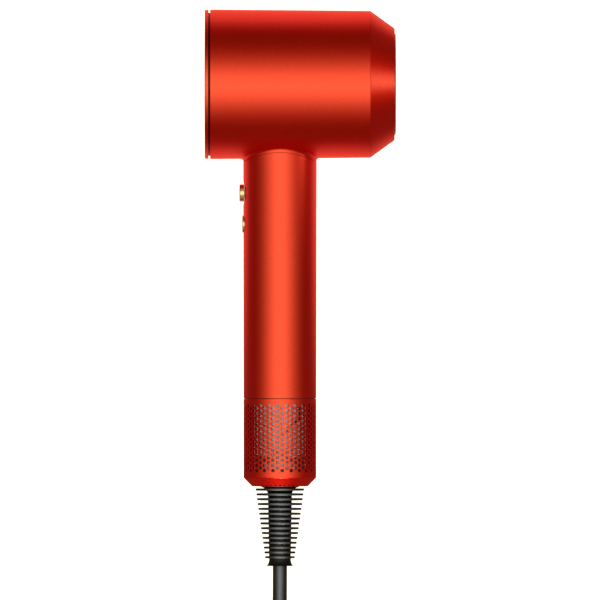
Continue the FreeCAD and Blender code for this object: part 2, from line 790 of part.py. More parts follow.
def filter_cage():
    down = CAGE_SHOULDER_Z - CAGE_FOOT_Z
    across = HANDLE_LOW_R - CAGE_FOOT_R
    slope = math.atan2(across, down)
    inner_r = HANDLE_LOW_R - CAGE_WALL
    inner_shoulder = CAGE_SHOULDER_Z + CAGE_WALL * math.tan(slope / 2)
    floor_z = CAGE_FOOT_Z + CAGE_WALL
    inner_foot_r = inner_r - (inner_shoulder - floor_z) * math.tan(slope)
    cage = turned_z(
        (inner_r, CAGE_TOP_Z),
        (HANDLE_LOW_R - EDGE_ROUND, CAGE_TOP_Z),
        (HANDLE_LOW_R, CAGE_TOP_Z - EDGE_ROUND),
        (HANDLE_LOW_R, CAGE_SHOULDER_Z + 0.35),
        ((HANDLE_LOW_R - 0.04, CAGE_SHOULDER_Z + 0.05), (HANDLE_LOW_R - 0.22, CAGE_SHOULDER_Z - 0.22)),
        (CAGE_FOOT_R, CAGE_FOOT_Z),
        (CAGE_HOLE_R, CAGE_FOOT_Z),
        (CAGE_HOLE_R, floor_z),
        (inner_foot_r, floor_z),
        (inner_r, inner_shoulder),
    )
    return cage.cut(Part.makeCompound(air_holes() + drain_holes()))


def filter_frame():
    collar = ring_z(HANDLE_LOW_R - 0.5, FRAME_INNER_R, CAGE_TOP_Z + 0.05, HANDLE_END_Z)
    spigot = ring_z(HANDLE_BORE_R - 0.05, FRAME_INNER_R + 0.5, HANDLE_END_Z, -152.0)
    neck = ring_z(FRAME_R, FRAME_INNER_R, MESH_TOP_Z, CAGE_TOP_Z + 0.05)
    foot = ring_z(FRAME_R, FRAME_INNER_R, FRAME_LOW_Z + 1.7, MESH_LOW_Z)
    bars = spun(block((FRAME_INNER_R + 0.2, 16.5), (-1, 1), (MESH_LOW_Z - 0.5, MESH_TOP_Z + 0.5)), Z_AXIS, 6, 30)
    return collar.fuse([spigot, neck, foot] + bars)


def filter_mesh():
    return ring_z(17.05, 16.7, MESH_LOW_Z, MESH_TOP_Z)


def base_screw_places():
    turns = [math.radians(turn) for turn in (30, 150, 270)]
    return [(BASE_SCREW_RING * math.cos(turn), BASE_SCREW_RING * math.sin(turn)) for turn in turns]


def handle_base():
    top = FRAME_LOW_Z + 1.7
    base = turned_z(
        (RELIEF_SHANK_R, top),
        (FRAME_R, top),
        (FRAME_R, FRAME_LOW_Z),
        (BASE_FOOT_R, FRAME_LOW_Z),
        (BASE_FOOT_R, BASE_FOOT_Z),
        (RELIEF_SHANK_R, BASE_FOOT_Z),
    )
    for x in (-CLAMP_SCREW_X, CLAMP_SCREW_X):
        base = base.fuse(disc_z(2.2, top, CLAMP_LOW_Z, x))
        base = base.cut(disc_z(1.0, top - 1, CLAMP_LOW_Z, x))
    lugs = [disc_z(2.2, top, top + LUG_HEIGHT, x, y) for x, y in base_screw_places()]
    holes = [disc_z(1.0, BASE_FOOT_Z, top + LUG_HEIGHT, x, y) for x, y in base_screw_places()]
    return base.fuse(lugs).cut(holes)


def case_screws():
    screws = []
    for x, y in base_screw_places():
        screws.append(screw((x, y, BASE_FOOT_Z), (0, 0, 1), 8.0))
    for x in (-CLAMP_SCREW_X, CLAMP_SCREW_X):
        screws.append(screw((x, 0, CLAMP_LOW_Z + CLAMP_THICK), (0, 0, -1), 5.0))
    return screws


def cord_clamp():
    top = CLAMP_LOW_Z + CLAMP_THICK
    bar = block((-12.6, 12.6), (-4.0, 4.0), (CLAMP_LOW_Z, top))
    holes = [disc_z(1.0, CLAMP_LOW_Z, top, x) for x in (-CLAMP_SCREW_X, CLAMP_SCREW_X)]
    return bar.cut(holes + [disc_z(CORD_R, CLAMP_LOW_Z, top)])


def sheath_end():
    return disc_z(CORD_R, RELIEF_TOP_Z, SHEATH_TOP_Z)


def strain_relief():
    body = disc_z(RELIEF_SHANK_R, BASE_FOOT_Z, RELIEF_TOP_Z)
    flange = disc_z(RELIEF_FLANGE_R, FRAME_LOW_Z + 1.7, RELIEF_TOP_Z)
    neck = turned_z(
        (0, BASE_FOOT_Z),
        (RELIEF_NECK_R, BASE_FOOT_Z),
        (RELIEF_NECK_R, RELIEF_NECK_Z),
        ((CORE_TOP_R + 1.0, RELIEF_NECK_Z - 1.5), (CORE_TOP_R, CORE_TOP_Z)),
        (CORE_LOW_R, BELL_Z + 3.6),
        ((CORE_LOW_R + 0.25, BELL_Z + 1.8), (BELL_R, BELL_Z)),
        (BELL_MOUTH_R, BELL_Z),
        (CORD_R + 0.3, BELL_Z + BELL_MOUTH_DEPTH),
        (0, BELL_Z + BELL_MOUTH_DEPTH),
    )
    ribs = []
    for index in range(RIB_COUNT):
        middle = RIB_FIRST_Z - index * RIB_PITCH
        radius = RIB_FIRST_R + (RIB_LAST_R - RIB_FIRST_R) * index / (RIB_COUNT - 1)
        rib = disc_z(radius, middle - RIB_THICK / 2, middle + RIB_THICK / 2)
        ribs.append(rib.makeFillet(RIB_ROUND, circles_at(rib, lambda at, r: True)))
    return body.fuse([flange, neck] + ribs)


# ---- lead, coil and plug, drawn where they lie ----
def coil_radii():
    """Outer edges of the coil's columns, from the middle of the winding."""
    half = COIL_COLUMNS * CORD_R
    return COIL_MEAN_R - half, COIL_MEAN_R + half


def cord_coil():
    """Ring of the winding's outer shape, with corners as round as the lead."""
    inner, outer = coil_radii()
    top = 2 * CORD_R * COIL_LAYERS
    soft = CORD_R * (1 - math.sqrt(0.5))
    coil = turned_z(
        (inner + CORD_R, 0),
        (outer - CORD_R, 0),
        ((outer - soft, soft), (outer, CORD_R)),
        (outer, top - CORD_R),
        ((outer - soft, top - soft), (outer - CORD_R, top)),
        (inner + CORD_R, top),
        ((inner + soft, top - soft), (inner, top - CORD_R)),
        (inner, CORD_R),
        ((inner + soft, soft), (inner + CORD_R, 0)),
    )
    coil.translate(Vector(COIL_CENTRE[0], COIL_CENTRE[1], 0))
    return coil


def coil_tie():
    """Strap closed round the winding at its far side."""
    inner, outer = coil_radii()
    top = 2 * CORD_R * COIL_LAYERS
    strap = block((inner - 1.6, outer + 1.4), (-5, 5), (0, top + 1.2))
    strap = strap.cut(block((inner - 0.6, outer + 0.4), (-5, 5), (0.8, top + 0.2)))
    strap.rotate(CENTRE, Z_AXIS, -60)
    strap.translate(Vector(COIL_CENTRE[0], COIL_CENTRE[1], 0))
    return strap


def plug_body():
    x, rear_y, z = PLUG_ENTRY
    back = rear_y - BOOT_LENGTH
    front = back - PLUG_LENGTH
    half = PLUG_WIDTH / 2
    plan = [(8.5, back), (half, back - 10), (half, front), (-half, front), (-half, back - 10), (-8.5, back)]
    corners = [Vector(x + across, y, z - PLUG_THICK / 2) for across, y in plan]
    body = Part.Face(Part.makePolygon(corners + corners[:1])).extrude(Vector(0, 0, PLUG_THICK))
    body = body.makeFillet(2.5, body.Edges)
    boot = turned_z((0, -BOOT_LENGTH - 2), (8.0, -BOOT_LENGTH - 2), (7.6, -BOOT_LENGTH + 1), (5.0, 0), (0, 0))
    for index in range(4):
        middle = -BOOT_LENGTH + 4 + index * 3.4
        boot = boot.fuse(disc_z(8.2 - index * 0.8, middle - 0.8, middle + 0.8))
    boot.rotate(CENTRE, X_AXIS, -90)
    boot.translate(Vector(x, rear_y, z))
    return body.fuse(boot)


def plug_pins():
    x, rear_y, z = PLUG_ENTRY
    front = rear_y - BOOT_LENGTH - PLUG_LENGTH
    pins = []
    for side in (-1, 1):
        start = Vector(x + side * PIN_SPACING / 2, front, z)
        pin = Part.makeCylinder(PIN_R, PIN_LENGTH, start, Y_AXIS * -1)
        tip = circles_at(pin, lambda at, r: near(at.y, front - PIN_LENGTH))
        pins.append(pin.makeFillet(1.4, tip))
    return pins


# ---- writing ----
DRYER_PIECES = {
    "barrel_shell": barrel_shell,
    "rear_cap": rear_cap,
    "rear_seal": rear_seal,
    "bore_tube": bore_tube,
    "nozzle_ring": nozzle_ring,
    "magnet_carrier": magnet_carrier,
    "attachment_magnets": magnet_places,
    "heater_coils": heater_coils,
    "heater_spacers": heater_spacers,
    "heater_inner_former": heater_inner_former,
    "heater_outer_former": heater_outer_former,
    "heater_leads": heater_leads,
    "thermal_fuse": thermal_fuse,
    "outlet_thermistor": outlet_thermistor,
    "ioniser_module": ioniser_module,
    "ioniser_needle": ioniser_needle,
    "control_board": control_board,
    "board_components": board_components,
    "board_screws": board_screws,
    "rear_switches": rear_switches,
    "status_lights": status_lights,
    "light_guides": light_guides,
    "airflow_button": lambda: rear_button("airflow"),
    "heat_button": lambda: rear_button("heat"),
    "handle_tube": handle_tube,
    "air_duct": air_duct,
    "switch_board": switch_board,
    "power_switch": power_switch,
    "power_slider": power_slider,
    "slider_carrier": slider_carrier,
    "cold_shot_button": cold_shot_button,
    "cold_shot_switch": cold_shot_switch,
    "motor_housing": motor_housing,
    "impeller": impeller,
    "guide_vanes": guide_vanes,
    "motor_bearings": motor_bearings,
    "bearing_bridge": bearing_bridge,
    "motor_board": motor_board,
    "motor_shaft": motor_shaft,
    "rotor_magnet": rotor_magnet,
    "stator_core": stator_core,
    "stator_windings": stator_windings,
    "motor_mount_lower": lambda: motor_mount(MOUNT_LOW_Z),
    "motor_mount_upper": lambda: motor_mount(MOUNT_TOP_Z - MOUNT_HEIGHT),
    "inlet_silencer": inlet_silencer,
    "supply_wires": supply_wires,
    "filter_cage": filter_cage,
    "filter_frame": filter_frame,
    "filter_mesh": filter_mesh,
    "handle_base": handle_base,
    "case_screws": case_screws,
    "cord_clamp": cord_clamp,
    "sheath_end": sheath_end,
    "strain_relief": strain_relief,
}
LYING_PIECES = {
    "cord_coil": cord_coil,
    "coil_tie": coil_tie,
    "plug_body": plug_body,
    "plug_pins": plug_pins,
}
CORD_ROUTES = {"cord_lead": LEAD_IN_ROUTE, "cord_tail": LEAD_OUT_ROUTE}


def gathered(made):
    """One shape from a piece's solid or its list of separate solids."""
    return Part.makeCompound(made) if isinstance(made, list) else made


def save(name, shape):
    if not shape.isValid():
        print("not valid:", name)
    shape.exportStep(os.path.join("parts", name + ".step"))


def main():
    os.makedirs("parts", exist_ok=True)
    laid_down = rest_placement()
    for name, make in DRYER_PIECES.items():
        shape = gathered(make())
        shape.Placement = laid_down.multiply(shape.Placement)
        save(name, shape)
    for name, make in LYING_PIECES.items():
        save(name, gathered(make()))
    for name, route in CORD_ROUTES.items():
        tube, length, radii = bent_tube(route, CORD_R)
        section = math.pi * CORD_R ** 2
        print(name, "length", round(length, 1), "volume ratio", round(tube.Volume / (section * length), 4),
              "radii", [round(radius) for radius in radii])
        save(name, tube)


main()
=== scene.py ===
import math

import bpy
from mathutils import Matrix, Vector


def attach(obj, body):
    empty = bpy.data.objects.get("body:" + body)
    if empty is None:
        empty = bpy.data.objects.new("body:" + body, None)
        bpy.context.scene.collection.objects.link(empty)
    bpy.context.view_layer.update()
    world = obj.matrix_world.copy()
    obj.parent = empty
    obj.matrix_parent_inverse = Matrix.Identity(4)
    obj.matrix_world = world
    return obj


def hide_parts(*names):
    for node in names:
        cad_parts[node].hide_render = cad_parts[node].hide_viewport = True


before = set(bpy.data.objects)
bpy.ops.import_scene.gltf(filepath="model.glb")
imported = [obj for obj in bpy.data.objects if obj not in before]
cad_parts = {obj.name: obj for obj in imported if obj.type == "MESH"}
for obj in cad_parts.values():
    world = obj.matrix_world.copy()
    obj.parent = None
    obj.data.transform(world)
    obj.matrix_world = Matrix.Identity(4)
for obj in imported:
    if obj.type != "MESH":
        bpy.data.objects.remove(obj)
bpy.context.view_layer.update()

MM = 0.001

# The dryer lies on its barrel and strain relief, so its handle dips by this angle.
DIP = math.radians(5.645022)
AXIS_X = Vector((1, 0, 0))
HANDLE_UP = Vector((0, math.cos(DIP), math.sin(DIP)))
FACING = Vector((0, -math.sin(DIP), math.cos(DIP)))
HEAD_CENTRE = Vector((-10.45, 104.063, 38.35)) * MM


def on_dryer(x, y, z):
    """Point of the frame at the upright dryer's x (nose), y (away from the viewer) and z (up), in mm."""
    return HEAD_CENTRE + (AXIS_X * x - FACING * y + HANDLE_UP * z) * MM


def add_object(name, data):
    """New object, linked into the scene."""
    made = bpy.data.objects.new(name, data)
    bpy.context.scene.collection.objects.link(made)
    return made


# ---------------------------------------------------------------- camera
CAMERA_DISTANCE = 12.0
VIEW_WIDTH = 0.3077
VIEW_CENTRE = Vector((-0.00015, -0.0060, 0.02747))
SENSOR_WIDTH = 36
FAR_CLIP = 50

camera_data = bpy.data.cameras.new("camera")
camera_data.sensor_width = SENSOR_WIDTH
camera_data.lens = SENSOR_WIDTH * CAMERA_DISTANCE / VIEW_WIDTH
camera_data.clip_end = FAR_CLIP
camera = add_object("camera", camera_data)
camera_axes = Matrix((AXIS_X, HANDLE_UP, FACING)).transposed().to_4x4()
camera.matrix_world = Matrix.Translation(VIEW_CENTRE + FACING * CAMERA_DISTANCE) @ camera_axes
bpy.context.scene.camera = camera
bpy.context.scene.view_settings.view_transform = "Standard"


# ---------------------------------------------------------------- mains lead
CORD_D = 7.3
CORD_SMOOTHNESS = 6
COIL_CENTRE = (34.85, -220.0)
COIL_STEPS = 16
COIL_TURNS = 10.75
COLUMN_R = 38.0
COLUMNS = [COLUMN_R + CORD_D, COLUMN_R, COLUMN_R - CORD_D]
LAYERS = 4
# Radius and height of each turn: the layers are wound inwards and outwards alternately.
WINDING = [(radius, CORD_D * (layer + 0.5))
           for layer in range(LAYERS)
           for radius in (COLUMNS[::-1] if layer % 2 else COLUMNS)]
CROSSING_START = 0.0625
CROSSING_LENGTH = 0.3125
CROSSING_BULGE = 0.6
LEAD_IN = [
    (-10.45, -139.75, 14.25),
    (-10.45, -159.0, 12.28),
    (-11.0, -184.0, 4.7),
    (-10.6, -208.0, 3.65),
    (-10.45, -220.0, 3.65),
]
LEAD_OUT = [
    (15.5, -176.2, 25.2),
    (-3.5, -180.4, 22.6),
    (-19.8, -191.6, 16.4),
    (-30.2, -208.9, 11.2),
    (-33.5, -229.0, 10.0),
]


def coil_point(step):
    """Point of the winding at that step; each turn crosses to the next in one short sector."""
    turns = step / COIL_STEPS
    angle = math.pi + 2 * math.pi * turns
    crossing = int(turns)
    share = (turns - crossing - CROSSING_START) / CROSSING_LENGTH
    share = min(max(share, 0.0), 1.0)
    radius, height = WINDING[crossing]
    next_radius, next_height = WINDING[crossing + 1]
    if next_height > height:
        side = 1 if radius > COLUMN_R else -1
        radius += side * CROSSING_BULGE * math.sin(math.pi * share)
        height += (next_height - height) * share
    else:
        radius += (next_radius - radius) * share
    radius /= math.cos(math.pi / COIL_STEPS)
    x, y = COIL_CENTRE
    return x + radius * math.cos(angle), y + radius * math.sin(angle), height


def cord_curve(name, points, diameter):
    """Round cord along one smooth NURBS line with these control points, in mm."""
    data = bpy.data.curves.new(name, "CURVE")
    data.dimensions = "3D"
    data.resolution_u = CORD_SMOOTHNESS
    data.bevel_depth = diameter / 2 * MM
    data.bevel_resolution = CORD_SMOOTHNESS
    data.use_fill_caps = True
    spline = data.splines.new("NURBS")
    spline.points.add(len(points) - 1)
    for point, (x, y, z) in zip(spline.points, points):
        point.co = (x * MM, y * MM, z * MM, 1)
    spline.order_u = 3
    spline.use_endpoint_u = True
    return add_object(name, data)


coil = [coil_point(step) for step in range(1, int(COIL_TURNS * COIL_STEPS) + 1)]
mains_lead = cord_curve("mains_lead", LEAD_IN + coil + LEAD_OUT, CORD_D)


# ---------------------------------------------------------------- shader helpers
class Nodes:
    """The node tree of a material or world, with helpers that add nodes and wire them."""

    def __init__(self, owner):
        owner.use_nodes = True
        self.tree = owner.node_tree

    def link(self, source, target):
        self.tree.links.new(source, target)

    def node(self, kind, **settings):
        made = self.tree.nodes.new(kind)
        for name, value in settings.items():
            setattr(made, name, value)
        return made

    def feed(self, made, *values):
        """Gives a node's first inputs their values, which are constants or other nodes' outputs."""
        for socket, value in zip(made.inputs, values):
            if isinstance(value, bpy.types.NodeSocket):
                self.link(value, socket)
            else:
                socket.default_value = value

    def math(self, operation, *values):
        made = self.node("ShaderNodeMath", operation=operation)
        self.feed(made, *values)
        return made.outputs["Value"]

    def vector_math(self, operation, *values):
        made = self.node("ShaderNodeVectorMath", operation=operation)
        self.feed(made, *values)
        return made.outputs

    def dot(self, first, second):
        return self.vector_math("DOT_PRODUCT", first, second)["Value"]

    def cross(self, first, second):
        return self.vector_math("CROSS_PRODUCT", first, second)["Vector"]

    def length(self, vector):
        return self.vector_math("LENGTH", vector)["Value"]

    def spread(self, source, low, high, start=0.0, end=1.0, curve="LINEAR"):
        """Maps start..end of the source to low..high."""
        made = self.node("ShaderNodeMapRange", interpolation_type=curve)
        made.inputs["From Min"].default_value = start
        made.inputs["From Max"].default_value = end
        made.inputs["To Min"].default_value = low
        made.inputs["To Max"].default_value = high
        self.link(source, made.inputs["Value"])
        return made.outputs["Result"]

    def ramp(self, source, *stops):
        """Colour from a ramp; each stop is (position, red, green, blue)."""
        made = self.node("ShaderNodeValToRGB")
        elements = made.color_ramp.elements
        elements.remove(elements[1])
        for index, (position, *rgb) in enumerate(stops):
            element = elements[0] if index == 0 else elements.new(position)
            element.position = position
            element.color = (*rgb, 1)
        self.link(source, made.inputs["Fac"])
        return made.outputs["Color"]


class Finish(Nodes):
    """One Principled material, with helpers that wire procedural detail into it."""

    def __init__(self, name, **constants):
        self.material = bpy.data.materials.new(name)
        super().__init__(self.material)
        self.shader = self.tree.nodes["Principled BSDF"]
        self.place = self.node("ShaderNodeTexCoord").outputs["Object"]
        self.normal = None
        for socket, value in constants.items():
            self.shader.inputs[socket.replace("_", " ")].default_value = value

    def stretched(self, scale):
        """Coordinates scaled by this much along X, Y and Z."""
        mapping = self.node("ShaderNodeMapping")
        mapping.inputs["Scale"].default_value = scale
        self.link(self.place, mapping.inputs["Vector"])
        return mapping.outputs["Vector"]

    def noise(self, scale, detail, roughness=0.5, stretch=None):
        made = self.node("ShaderNodeTexNoise")
        made.inputs["Scale"].default_value = scale
        made.inputs["Detail"].default_value = detail
        made.inputs["Roughness"].default_value = roughness
        self.link(self.stretched(stretch) if stretch else self.place, made.inputs["Vector"])
        return made.outputs["Fac"]

    def cells(self, scale, feature="F1"):
        made = self.node("ShaderNodeTexVoronoi", feature=feature)
        made.inputs["Scale"].default_value = scale
        self.link(self.place, made.inputs["Vector"])
        return made

    def waves(self, scale, direction):
        made = self.node("ShaderNodeTexWave", wave_type="BANDS", bands_direction=direction)
        made.inputs["Scale"].default_value = scale
        self.link(self.place, made.inputs["Vector"])
        return made.outputs["Fac"]

    def blend(self, first, share, second):
        """Mean of two outputs, weighted so that the first has that share."""
        return self.math(
            "ADD", self.math("MULTIPLY", first, share), self.math("MULTIPLY", second, 1 - share))

    def round_handle_axis(self):
        """Direction round the handle's axis, as long as the distance from it."""
        offset = self.vector_math("SUBTRACT", self.place, HEAD_CENTRE)["Vector"]
        return self.cross(offset, HANDLE_UP)

    def from_handle_axis(self):
        """Distance from the handle's axis."""
        return self.length(self.round_handle_axis())

    def out_of_handle_axis(self):
        """Direction straight out from the handle's axis."""
        outwards = self.cross(HANDLE_UP, self.round_handle_axis())
        return self.vector_math("NORMALIZE", outwards)["Vector"]

    def colours(self, source, *stops):
        """Base colour from a ramp with these stops."""
        self.link(self.ramp(source, *stops), self.shader.inputs["Base Color"])

    def roughness(self, source, low, high, start=0.3, end=0.7):
        self.link(self.spread(source, low, high, start, end), self.shader.inputs["Roughness"])

    def bump(self, source, depth_mm):
        """Adds relief of that depth to the surface."""
        made = self.node("ShaderNodeBump")
        made.inputs["Distance"].default_value = depth_mm * MM
        self.link(source, made.inputs["Height"])
        if self.normal is not None:
            self.link(self.normal, made.inputs["Normal"])
        self.normal = made.outputs["Normal"]
        self.link(self.normal, self.shader.inputs["Normal"])


# ---------------------------------------------------------------- finishes
RUBBER_BLACK = ((0.006, 0.006, 0.007), (0.014, 0.014, 0.015))
# Shine of the black rubber by distance from the handle's axis: painted shade in the core between the ribs,
# and less shine beyond their reach.
RIB_ROOT = 6.4 * MM
RIB_ROOT_FADE = 1.2 * MM
RIB_REACH = 14.0 * MM
RIB_REACH_FADE = 4.0 * MM
SHINE_AT_ROOT = 0.12
SHINE_PAST_RIBS = 0.1


def paint_finish():
    """Satin metallic lacquer with fine flake and a little orange peel."""
    f = Finish("paint_satin_red", Metallic=0.8, Specular_IOR_Level=0.3, Specular_Tint=(1, 0.3, 0.12, 1),
               Coat_Weight=0.4, Coat_Roughness=0.26, Coat_IOR=2.0)
    flake = f.node("ShaderNodeSeparateColor")
    f.link(f.cells(2600).outputs["Color"], flake.inputs["Color"])
    grain = f.blend(flake.outputs["Red"], 0.55, f.noise(700, 3))
    f.colours(grain, (0.1, 0.82, 0.0030, 0.0010), (0.5, 0.89, 0.0050, 0.0016), (0.9, 0.96, 0.0080, 0.0024))
    f.roughness(f.blend(flake.outputs["Green"], 0.5, f.noise(40, 3)), 0.41, 0.47, 0.2, 0.8)
    f.bump(f.noise(3200, 2), 0.003)
    f.bump(f.noise(260, 2), 0.004)
    return f.material


def nickel_finish():
    """Dark nickel, turned, so its fine lines run round the nose."""
    turned = (5, 0.4, 0.4)
    f = Finish("nickel_dark", Metallic=1.0)
    f.colours(f.noise(900, 4, stretch=(6, 1, 1)), (0.25, 0.06, 0.06, 0.07), (0.75, 0.12, 0.12, 0.13))
    f.roughness(f.noise(1400, 3, stretch=turned), 0.14, 0.26)
    f.bump(f.noise(1500, 2, stretch=turned), 0.002)
    return f.material


def brass_finish():
    """Polished brass with handling smears; its base is pinkish to suit the warm light."""
    f = Finish("brass_polished", Metallic=1.0)
    f.colours(f.noise(1200, 4), (0.2, 0.58, 0.37, 0.37), (0.8, 0.72, 0.49, 0.49))
    f.roughness(f.noise(800, 4), 0.24, 0.34)
    f.bump(f.noise(3000, 2), 0.002)
    return f.material


def rubber_finish(name, dark, light, grain_scale, rough_low, rough_high, ribbed=False):
    """Soft moulded rubber with a fine grain; its shine is bluish to suit the warm light."""
    f = Finish(name, IOR=1.95, Specular_IOR_Level=0.9, Specular_Tint=(0.50, 0.45, 1, 1))
    f.colours(f.noise(90, 5), (0.3, *dark), (0.7, *light))
    f.roughness(f.noise(350, 4), rough_low, rough_high)
    f.bump(f.noise(grain_scale, 3), 0.02)
    if ribbed:
        # Painted shade: the shine is low close to the handle's axis, in the core between the strain
        # relief's ribs, and full only as far out as the ribs are; further out it drops again.
        distance = f.from_handle_axis()
        painted_core_shade = f.spread(distance, SHINE_AT_ROOT, 1.0, RIB_ROOT, RIB_ROOT + RIB_ROOT_FADE)
        beyond_rib_reach = f.spread(distance, 1.0, SHINE_PAST_RIBS, RIB_REACH, RIB_REACH + RIB_REACH_FADE)
        f.link(f.math("MULTIPLY", painted_core_shade, beyond_rib_reach), f.shader.inputs["Specular IOR Level"])
    return f.material


def plastic_finish(name, dark, light, rough=0.5):
    """Moulded plastic with a fine pebbled grain."""
    f = Finish(name)
    f.colours(f.noise(160, 4), (0.3, *dark), (0.7, *light))
    f.roughness(f.noise(500, 3), rough - 0.06, rough + 0.06)
    f.bump(f.cells(2200).outputs["Distance"], 0.012)
    return f.material


def metal_finish(name, dark, light, rough=0.3, stretch=None):
    """Bare metal with fine marks; a stretch of the coordinates gives them a direction."""
    f = Finish(name, Metallic=1.0)
    f.colours(f.noise(700, 4, stretch=stretch), (0.3, *dark), (0.7, *light))
    f.roughness(f.noise(1500, 3, stretch=stretch), rough - 0.07, rough + 0.07)
    f.bump(f.noise(2600, 2, stretch=stretch), 0.003)
    return f.material


def wire_finish():
    """Stainless wire cloth, which shines like one sheet bent round the handle's axis."""
    f = Finish("wire_stainless", Metallic=1.0)
    f.colours(f.noise(300, 4), (0.3, 0.19, 0.16, 0.31), (0.7, 0.26, 0.22, 0.43))
    f.roughness(f.noise(900, 3), 0.36, 0.46)
    f.normal = f.out_of_handle_axis()
    f.bump(f.noise(2600, 2), 0.002)
    return f.material


def clear_finish():
    """Clear moulded plastic."""
    f = Finish("clear_moulding", Transmission_Weight=0.9, IOR=1.49)
    f.colours(f.noise(60, 3), (0.3, 0.90, 0.93, 0.95), (0.7, 0.98, 0.99, 1.0))
    f.roughness(f.noise(700, 3), 0.08, 0.2)
    f.bump(f.noise(900, 2), 0.003)
    return f.material


def board_finish():
    """Green solder mask over tracks."""
    f = Finish("board_green")
    tracks = f.cells(420, "DISTANCE_TO_EDGE").outputs["Distance"]
    f.colours(tracks, (0.0, 0.010, 0.085, 0.030), (0.10, 0.012, 0.10, 0.036), (0.14, 0.004, 0.045, 0.015))
    f.roughness(f.noise(900, 3), 0.28, 0.4)
    f.bump(tracks, 0.03)
    return f.material


def mica_finish():
    """Flaky mica sheet."""
    f = Finish("mica_sheet", Metallic=0.2)
    flakes = f.noise(260, 6, 0.7, stretch=(1, 3, 1))
    f.colours(flakes, (0.25, 0.28, 0.22, 0.15), (0.5, 0.46, 0.38, 0.27), (0.8, 0.66, 0.58, 0.45))
    f.roughness(f.noise(400, 4), 0.32, 0.5)
    f.bump(f.noise(800, 4), 0.03)
    return f.material


def foam_finish():
    """Open-cell foam: paler ribs, with painted shade darkening the pores between them."""
    f = Finish("foam_grey", Specular_IOR_Level=0.2)
    pores = f.cells(1300, "DISTANCE_TO_EDGE").outputs["Distance"]
    # Painted shade: the colour darkens towards each pore's middle; the same pattern also drives the bump.
    f.colours(pores, (0.0, 0.12, 0.12, 0.125), (0.25, 0.04, 0.04, 0.042), (0.5, 0.012, 0.012, 0.013))
    f.roughness(f.noise(600, 3), 0.85, 0.98)
    f.bump(pores, 0.2)
    return f.material


def woven_tie_finish():
    """Narrow black webbing of the hook-and-loop strap."""
    f = Finish("tie_webbing", Specular_IOR_Level=0.3)
    warp = f.math("ADD", f.waves(900, "X"), 0.3)
    weft = f.math("ADD", f.waves(900, "Z"), 0.3)
    weave = f.math("MULTIPLY", warp, weft)
    f.colours(weave, (0.1, 0.008, 0.008, 0.009), (0.9, 0.045, 0.045, 0.05))
    f.roughness(f.noise(900, 3), 0.75, 0.95)
    f.bump(weave, 0.12)
    return f.material


FINISHES = {
    "body_paint": paint_finish(),
    "dark_nickel": nickel_finish(),
    "gold_brass": brass_finish(),
    "black_rubber": rubber_finish("rubber_black", *RUBBER_BLACK, 1800, 0.3, 0.4, ribbed=True),
    "cord_sheath": rubber_finish("sheath_black", *RUBBER_BLACK, 2600, 0.3, 0.42),
    "steel": metal_finish("steel_ground", (0.42, 0.42, 0.43), (0.62, 0.62, 0.62)),
    "filter_wire": wire_finish(),
    "black_plastic": plastic_finish("plastic_black", (0.010, 0.010, 0.011), (0.020, 0.020, 0.021)),
    "grey_plastic": plastic_finish("plastic_grey", (0.16, 0.16, 0.165), (0.23, 0.23, 0.235), 0.55),
    "clear_plastic": clear_finish(),
    "circuit_board": board_finish(),
    "copper": metal_finish("copper_wire", (0.62, 0.26, 0.13), (0.86, 0.42, 0.25), 0.28, (1, 1, 5)),
    "mica": mica_finish(),
    "magnet": metal_finish("magnet_plated", (0.48, 0.47, 0.45), (0.66, 0.65, 0.62), 0.22),
    "foam": foam_finish(),
    "tie_fabric": woven_tie_finish(),
    "wire_insulation": rubber_finish(
        "insulation_silicone", (0.30, 0.30, 0.31), (0.44, 0.44, 0.45), 1500, 0.5, 0.62),
}

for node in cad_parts.values():
    for cad_slot in node.material_slots:
        cad_slot.material = FINISHES[cad_slot.material.name.split(".")[0]]


# ---------------------------------------------------------------- mains lead, declared
mains_lead.data.materials.append(FINISHES["cord_sheath"])
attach(mains_lead, "dryer")
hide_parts("cord_lead", "cord_coil", "cord_tail")


# ---------------------------------------------------------------- mesh helpers
class Surface:
    """Points and faces of a mesh, built up tube by tube."""

    def __init__(self):
        self.points = []
        self.faces = []

    def add_tube(self, rings, closed):
        """Skins rings of equally many points in order, and caps both ends of an open tube."""
        first = len(self.points)
        count, size = len(rings), len(rings[0])
        for ring in rings:
            self.points += ring
        for index in range(count if closed else count - 1):
            here = first + index * size
            there = first + (index + 1) % count * size
            for corner in range(size):
                other = (corner + 1) % size
                self.faces.append((here + corner, there + corner, there + other, here + other))
        if not closed:
            last = first + (count - 1) * size
            self.faces.append(tuple(first + corner for corner in range(size)))
            self.faces.append(tuple(last + corner for corner in reversed(range(size))))


def mesh_piece(name, surface, slot, body):
    """Smooth-shaded piece that moves with that body."""
    data = bpy.data.meshes.new(name)
    data.from_pydata(surface.points, [], surface.faces)
    data.validate()
    for polygon in data.polygons:
        polygon.use_smooth = True
    data.materials.append(FINISHES[slot])
    piece = add_object(name, data)
    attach(piece, body)
    return piece


# ---------------------------------------------------------------- coil strap
STRAP_WIDTH = 10.0
STRAP_THICK = 0.9
STRAP_ANGLE = math.radians(-60)
STRAP_INNER = 26.6
STRAP_OUTER = 49.4
STRAP_LOW = 0.45
STRAP_TOP = 29.7
STRAP_CORNER = 4.0
CORNER_STEPS = 8
# Places across in half widths and out in thicknesses; the outer face has chamfered edges.
STRAP_SECTION = [
    (-1, 0.5), (-0.92, 0.62), (0.92, 0.62), (1, 0.5), (1, -0.5), (0.92, -0.5), (-0.92, -0.5), (-1, -0.5)]
